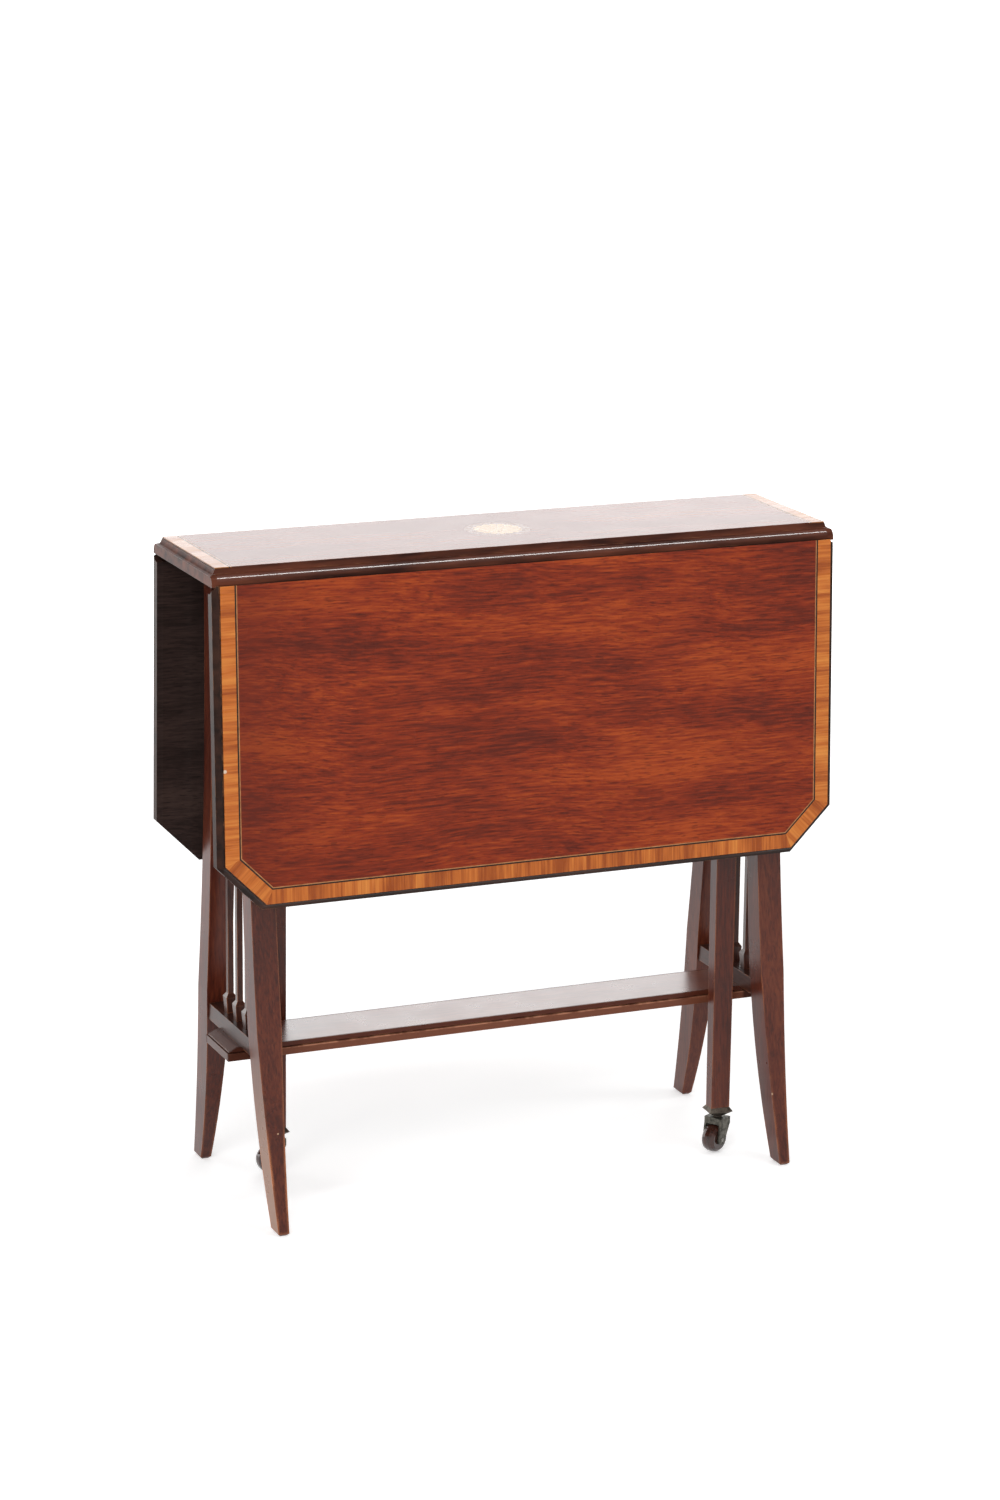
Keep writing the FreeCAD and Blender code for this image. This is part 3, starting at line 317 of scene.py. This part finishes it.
def leaf_space(shader, side):
    """A leaf's own measures: along it, out of its face and down from its pivot
    line; side is -1 for the front leaf and 1 for the back one."""
    x, y, z = shader.parts(shader.place())
    away = shader.math("SUBTRACT", shader.times(y, side), PIVOT_OUT)
    fall = shader.math("SUBTRACT", PIVOT_HEIGHT, z)
    out = shader.weigh((away, math.cos(LEAF_HANG)), (fall, -math.sin(LEAF_HANG)))
    down = shader.weigh((away, math.sin(LEAF_HANG)), (fall, math.cos(LEAF_HANG)))
    return x, out, down


def board(name, field, side, face, back, relief, rough, shine):
    """Inlaid board: polished field on its face, dark moulded edges, and a
    plainer hidden side, darkened near-black as painted shade; side is 0 for the fixed top, face
    and back are levels, and shine goes for the face, for the long edges and for the ends."""
    shader = Shader(name)
    colour, height = wood_figure(shader, X, *field)
    plain_and_shaded, _ = wood_figure(shader, X, *HIDDEN)
    place = shader.place()
    x, _, z = shader.parts(place)
    level = leaf_space(shader, side)[1] if side else z
    if side:
        darker_end = shader.fade(x, -0.19, -0.31, 0.0, 0.45)
        colour = shader.mix(darker_end, colour, field[0])

    def lies_at(plane):
        off = shader.math("ABSOLUTE", shader.math("SUBTRACT", level, plane))
        return shader.fade(off, FACE_DEPTH, FACE_DEPTH / 4)

    on_face = lies_at(face)
    at_end = shader.fade(shader.math("ABSOLUTE", x), *MOULDED_END)
    arris = shader.edge(*BOARD_WEAR_AND_GLINT)
    # Paler patches along the board's arrises: wear, and painted highlights standing in for glints
    # on chipped arrises
    worn = shader.times(arris, shader.fade(shader.mottle(50.0, 4.0), 0.48, 0.62))
    stain = shader.noise(shader.scale(place, (9.0, 60.0, 60.0)), 4.0, 0.6)
    dark_edge, red_edge = LEAF_EDGES if side else TOP_EDGES
    edges = shader.ramp(stain, (0.36, dark_edge), (0.64, red_edge))
    edges = shader.mix(worn, edges, EDGE_WEAR_AND_GLINT)
    face_shine, edge_shine, end_shine = shine
    if not side:
        # A pale grey line along the arrises of the top's moulded ends: painted highlight
        edges = shader.mix(shader.times(arris, at_end, 0.8), edges, RIM_HIGHLIGHT)
        ovolo = shader.times(shader.fade(z, *OVOLO_LOW),
                             shader.fade(z, OVOLO_TOP + OVOLO_BLUR, OVOLO_TOP - OVOLO_BLUR))
        edge_shine = shader.fade(ovolo, 0.0, 1.0, end_shine, edge_shine)
    shader.set("Base Color", shader.mix(lies_at(back), shader.mix(on_face, edges, colour), plain_and_shaded))

    def share(face_value, edge_value, end_value):
        moulded = shader.fade(at_end, 0.0, 1.0, edge_value, end_value)
        flat = shader.times(on_face, shader.math("SUBTRACT", face_value, moulded))
        return shader.math("ADD", flat, moulded)

    shader.set("Roughness", share(shader.spread(shader.mottle(22.0), *rough), 0.16, 0.34))
    shader.set("Specular IOR Level", share(face_shine, edge_shine, end_shine))
    shader.bump(height, relief, 0.0003, 0.0005)
    return shader.material


def leaf_board(name, side):
    return board(name, FIELD, side, LEAF_FACE, LEAF_BACK, 0.08, (0.22, 0.30), (0.10, 0.15, 0.045))


def satinwood(shader, along, across, tones, tone=0.0, chips=()):
    """Crossbanding: the grain runs square to the edge that it follows; tone
    makes it lighter or darker; chips are each a point and a radius."""
    def strands(fine, slow, offset):
        return shader.noise(shader.join(shader.times(along, fine), shader.times(across, slow),
                                        offset), 2.0, 0.6)

    lines = strands(520.0, 14.0, 0.0)
    bars = strands(120.0, 9.0, 3.7)
    blotches = strands(28.0, 6.0, 8.1)
    blend = shader.weigh((lines, 0.26), (bars, 0.38), (blotches, 0.36))
    blend = shader.math("ADD", blend, tone)
    colour = shader.ramp(blend, *zip((0.39, 0.50, 0.61), tones))
    for centre, radius in chips:
        colour = shader.mix(shader.spot(centre, radius), colour, CHIP)
    shader.set("Base Color", colour)
    shader.set("Roughness", shader.spread(bars, 0.24, 0.34))
    shader.bump(lines, 0.06, 0.0002, 0.0002)
    return shader.material


def leaf_banding(name, side, chips=()):
    """The strip that a point belongs to is the one whose edge lies nearest."""
    bottom_shade, end_offset = -0.047, 2.3
    shader = Shader(name, Specular_IOR_Level=0.2)
    x, _, down = leaf_space(shader, side)
    out = shader.math("ABSOLUTE", x)
    from_side = shader.math("SUBTRACT", TOP_HIGH.x, out)
    from_bottom = shader.math("SUBTRACT", LEAF_REACH, down)
    from_cant = shader.math("SUBTRACT", shader.math("ADD", from_bottom, from_side), LEAF_CANT)
    from_cant = shader.times(from_cant, math.sqrt(0.5))
    along_cant = shader.times(shader.math("SUBTRACT", out, down), math.sqrt(0.5))
    on_side = shader.math("LESS_THAN", from_side, from_bottom)
    near = shader.math("MINIMUM", from_side, from_bottom)
    on_cant = shader.math("LESS_THAN", from_cant, near)

    def choose(flag, yes, no):
        return shader.math("ADD", shader.times(flag, shader.math("SUBTRACT", yes, no)), no)

    along = choose(on_cant, along_cant, choose(on_side, down, x))
    along = shader.math("ADD", along, shader.times(shader.math("SIGN", x), end_offset))
    across = choose(on_cant, from_cant, near)
    # The bottom strip is shifted darker as painted shade on the hanging leaf's lower edge
    tone = choose(on_cant, 0.0, choose(on_side, 0.0, bottom_shade))
    return satinwood(shader, along, across, SATINWOOD, tone, chips)


def top_banding(name):
    end_offset = 1.7
    shader = Shader(name, Specular_IOR_Level=0.2)
    x, y, _ = shader.parts(shader.place())
    along = shader.math("ADD", y, shader.times(shader.math("SIGN", x), end_offset))
    return satinwood(shader, along, shader.math("ABSOLUTE", x), TOP_SATINWOOD_SHADED)


def stringing(name, dark, light, roughness):
    shader = Shader(name, Specular_IOR_Level=0.2)
    blend = shader.mottle(160.0)
    shader.set("Base Color", shader.ramp(blend, (0.3, dark), (0.7, light)))
    shader.set("Roughness", shader.spread(blend, roughness, roughness + 0.1))
    return shader.material


def fan_inlay(name):
    """Round fan of sand-shaded leaves with scalloped tips about the middle of the top."""
    leaves = 16
    valley, scallop, blur = FAN_RADIUS * 0.86, FAN_RADIUS * 0.12, 0.0003
    ground = (0.16, 0.050, 0.018)
    shades = ((0.10, (0.12, 0.050, 0.015)), (0.30, (0.29, 0.140, 0.036)),
              (0.62, (0.42, 0.220, 0.062)), (1.0, (0.50, 0.290, 0.095)))
    shader = Shader(name, Specular_IOR_Level=0.2)
    x, y, _ = shader.parts(shader.place())
    turn = shader.times(shader.math("ARCTAN2", y, x), leaves / (2 * math.pi))
    leaf = shader.math("FRACT", shader.math("ADD", turn, leaves))
    reach = shader.math("SQRT", shader.math("ADD", shader.times(x, x), shader.times(y, y)))
    grain = shader.mottle(420.0)
    colour = shader.ramp(shader.weigh((leaf, 1.0), (grain, 0.3)), *shades)
    bow = shader.math("SINE", shader.times(leaf, math.pi))
    tip = shader.math("ADD", shader.times(bow, scallop), valley)
    beyond = shader.fade(shader.math("SUBTRACT", reach, tip), -blur, blur)
    shader.set("Base Color", shader.mix(beyond, colour, ground))
    shader.set("Roughness", shader.spread(grain, 0.22, 0.32))
    shader.bump(grain, 0.05, 0.0002, 0.0002)
    return shader.material


def metal(name, dark, light, low_rough, high_rough, turns):
    """Old metal: tarnish in patches, brighter where it is rubbed."""
    shader = Shader(name, Metallic=1.0)
    patches = shader.mottle(turns, 5.0, 0.65)
    rubbed = shader.times(shader.edge(*METAL_WEAR), 0.6)
    colour = shader.ramp(patches, (0.35, dark), (0.65, light))
    bright = tuple(min(1.0, value * 1.8) for value in light)
    shader.set("Base Color", shader.mix(rubbed, colour, bright))
    shader.set("Roughness", shader.spread(patches, high_rough, low_rough))
    shader.bump(patches, 0.25, 0.0002, 0.0004)
    return shader.material


def glaze(name):
    """Brown glazed wheel, worn to the body along its rims."""
    dark, light, body = (0.022, 0.007, 0.005), (0.065, 0.020, 0.012), (0.16, 0.060, 0.028)
    shader = Shader(name, Coat_Weight=1.0, Coat_Roughness=0.04, Specular_IOR_Level=0.1)
    clouds = shader.mottle(220.0, 4.0)
    colour = shader.ramp(clouds, (0.3, dark), (0.7, light))
    worn = shader.times(shader.edge(*GLAZE_WEAR), 0.5)
    shader.set("Base Color", shader.mix(worn, colour, body))
    shader.set("Roughness", shader.spread(clouds, 0.14, 0.26))
    shader.bump(clouds, 0.15, 0.0003, 0.0005)
    return shader.material


UPRIGHT = dark_wood("upright_mahogany", Z,
                    marks=[((0.2581, -0.1079, 0.0709), 0.0014),
                           ((-0.2638, -0.1026, 0.0956), 0.0010)],
                    rubbed=[((-0.2860, -0.1150, 0.0200), 0.19, RUBBED),
                            # Painted red reflection low on the right front leg's inner face
                            ((0.2620, -0.2000, 0.1300), 0.14, RED_REFLECTION)])
LENGTHWISE = dark_wood("lengthwise_mahogany", X)
STRETCHER = dark_wood("stretcher_mahogany", X, BRIGHT, shine=0.8, relief=0.002, wear=0.9,
                      corner=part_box("stretcher")[1])
CROSSWISE = dark_wood("crosswise_mahogany", Y, SHADED)
SPINDLE = dark_wood("spindle_mahogany", Z, SHADED, shine=0.25, end_shine=0.9)
IRON = metal("antique_metal", (0.055, 0.053, 0.045), (0.150, 0.142, 0.120), 0.40, 0.60, 260.0)
PLATE = metal("plate_metal", (0.085, 0.072, 0.060), (0.190, 0.160, 0.130), 0.45, 0.60, 260.0)
BRASS = metal("aged_brass", (0.16, 0.11, 0.045), (0.42, 0.30, 0.12), 0.30, 0.50, 200.0)
STEEL = metal("plain_steel", (0.16, 0.15, 0.14), (0.40, 0.38, 0.35), 0.28, 0.45, 300.0)

# Looks of single nodes, and then those of the record's slots
looks = {
    "fixed_top": board("top_board", TOP_FIELD_SHADED, 0, TOP_HIGH.z, TOP_LOW.z, 0.012, (0.22, 0.24),
                       (0.085, 0.9, 0.04)),
    "front_leaf": leaf_board("front_leaf_board", -1),
    "back_leaf": leaf_board("back_leaf_board", 1),
    "front_leaf_banding": leaf_banding("front_banding", -1,
                                       [((-0.3127, -0.0977, 0.4549), 0.0022)]),
    "back_leaf_banding": leaf_banding("back_banding", 1),
    "top_bandings": top_banding("end_banding"),
    "top_patera_fan": fan_inlay("fan_inlay"),
    "front_castor_plate": PLATE,
    "back_castor_plate": PLATE,
}
by_slot = {
    "ebony": stringing("black_line", (0.006, 0.004, 0.003), (0.020, 0.010, 0.006), 0.3),
    "boxwood": stringing("pale_line", (0.36, 0.140, 0.050), (0.54, 0.240, 0.095), 0.26),
    "satinwood": stringing("patera_ground", (0.13, 0.036, 0.013), (0.20, 0.062, 0.022), 0.24),
    "brass": BRASS,
    "iron": IRON,
    "steel": STEEL,
    "brown_ceramic": glaze("brown_glaze"),
}


def frame_wood(name):
    if name.endswith("_leg"):
        return UPRIGHT
    if name.endswith("_spindle"):
        return SPINDLE
    if name == "stretcher":
        return STRETCHER
    if name.endswith(("upper_rail", "lower_rail")):
        return CROSSWISE
    return LENGTHWISE


slots = {part["node"]: part["material_slot"] for part in frame["record"]["subparts"]}
for name, piece in frame["nodes"].items():
    look = looks.get(name) or by_slot.get(slots[name]) or frame_wood(name)
    for slot in piece.material_slots:
        slot.material = look


# Stage: white floor, white horizon with a duller sky, and four soft panels
WHITE = (1.0, 1.0, 1.0, 1.0)


def floor():
    """White for the camera and in reflections, with the object's shadow kept."""
    half = 40.0
    near, far, near_glow, far_glow = 0.9, 3.2, 0.48, 1.0
    dull, bright = (0.80,) * 3, (0.82,) * 3
    mesh = bpy.data.meshes.new("floor")
    mesh.from_pydata([(-half, -half, 0), (half, -half, 0), (half, half, 0), (-half, half, 0)],
                     [], [(0, 1, 2, 3)])
    piece = bpy.data.objects.new("floor", mesh)
    bpy.context.scene.collection.objects.link(piece)
    shader = Shader("white_floor", Roughness=0.9, Specular_IOR_Level=0.0, Emission_Color=WHITE)
    mottle = shader.mottle(3.0, 2.0, 0.5)
    shader.set("Base Color", shader.ramp(mottle, (0.3, dull), (0.7, bright)))
    ray = shader.add("LightPath", {}).outputs
    seen = shader.math("MAXIMUM", ray["Is Camera Ray"], ray["Is Glossy Ray"])
    seen = shader.math("MAXIMUM", seen, ray["Is Transmission Ray"])
    away = shader.add("VectorMath", {0: shader.place()}, operation="LENGTH").outputs["Value"]
    glow = shader.fade(away, near, far, near_glow, far_glow)
    shader.set("Emission Strength", shader.times(seen, glow))
    mesh.materials.append(shader.material)


def surroundings():
    """White for the camera and about the horizon, duller overhead."""
    horizon, overhead, sky_level = 0.16, 0.60, 0.22
    world = bpy.data.worlds.new("white_studio")
    world.use_nodes = True
    bpy.context.scene.world = world
    tree = world.node_tree

    def add(kind, **settings):
        node = tree.nodes.new("ShaderNode" + kind)
        for key, value in settings.items():
            setattr(node, key, value)
        return node

    way = add("TexCoord")
    parts = add("SeparateXYZ")
    sky = add("MapRange", interpolation_type="SMOOTHSTEP")
    for socket, value in (("From Min", horizon), ("From Max", overhead),
                          ("To Min", 1.0), ("To Max", sky_level)):
        sky.inputs[socket].default_value = value
    ray = add("LightPath")
    level = add("Math", operation="MAXIMUM")
    background = tree.nodes["Background"]
    background.inputs["Color"].default_value = WHITE
    for start, end in ((way.outputs["Generated"], parts.inputs[0]),
                       (parts.outputs[Z], sky.inputs["Value"]),
                       (sky.outputs[0], level.inputs[0]),
                       (ray.outputs["Is Camera Ray"], level.inputs[1]),
                       (level.outputs[0], background.inputs["Strength"])):
        tree.links.new(start, end)


def softbox(name, place, target, width, height, radiance):
    """Lit panel that faces the target and that the camera doesn't see."""
    lamp = bpy.data.lights.new(name, "AREA")
    lamp.shape = "RECTANGLE"
    lamp.size = width
    lamp.size_y = height
    lamp.energy = radiance * math.pi * width * height
    piece = bpy.data.objects.new(name, lamp)
    piece.location = place
    piece.rotation_euler = (Vector(target) - Vector(place)).to_track_quat("-Z", "Y").to_euler()
    piece.visible_camera = False
    bpy.context.scene.collection.objects.link(piece)


floor()
surroundings()
MIDDLE = (0.0, 0.0, 0.45)
softbox("back_panel", (1.55, 3.64, 2.0), MIDDLE, 3.8, 2.6, 2.5)
softbox("key_panel", (-2.4, -3.0, 3.0), MIDDLE, 2.4, 2.4, 4.5)
softbox("left_panel", (-1.35, 1.75, 0.75), (0.0, 0.0, 0.3), 1.4, 1.5, 1.8)
softbox("edge_strip", (0.92, -0.66, 2.8), (0.92, -0.66, 0.0), 1.2, 0.24, 19.0)

# Camera: the photograph's view, solved from the table's own edges
AZIMUTH, ELEVATION, ROLL = math.radians(-23.05), math.radians(14.57), math.radians(0.59)
DISTANCE = 4.0203
TARGET = Vector((0.005, 0.0, 0.4229))
FOCAL_PIXELS, IMAGE_HEIGHT = 4114.4, 1500
back = Vector((math.sin(AZIMUTH) * math.cos(ELEVATION), -math.cos(AZIMUTH) * math.cos(ELEVATION),
               math.sin(ELEVATION)))
level_right = Vector((math.cos(AZIMUTH), math.sin(AZIMUTH), 0.0))
level_up = back.cross(level_right)
right = level_right * math.cos(ROLL) + level_up * math.sin(ROLL)
up = back.cross(right)
lens = bpy.data.cameras.new("camera")
lens.lens = lens.sensor_width * FOCAL_PIXELS / IMAGE_HEIGHT
camera = bpy.data.objects.new("camera", lens)
bpy.context.scene.collection.objects.link(camera)
turn = Matrix((right, up, back)).transposed().to_4x4()
camera.matrix_world = Matrix.Translation(TARGET + DISTANCE * back) @ turn
bpy.context.scene.camera = camera
bpy.context.scene.view_settings.view_transform = "Standard"

bpy.context.view_layer.update()
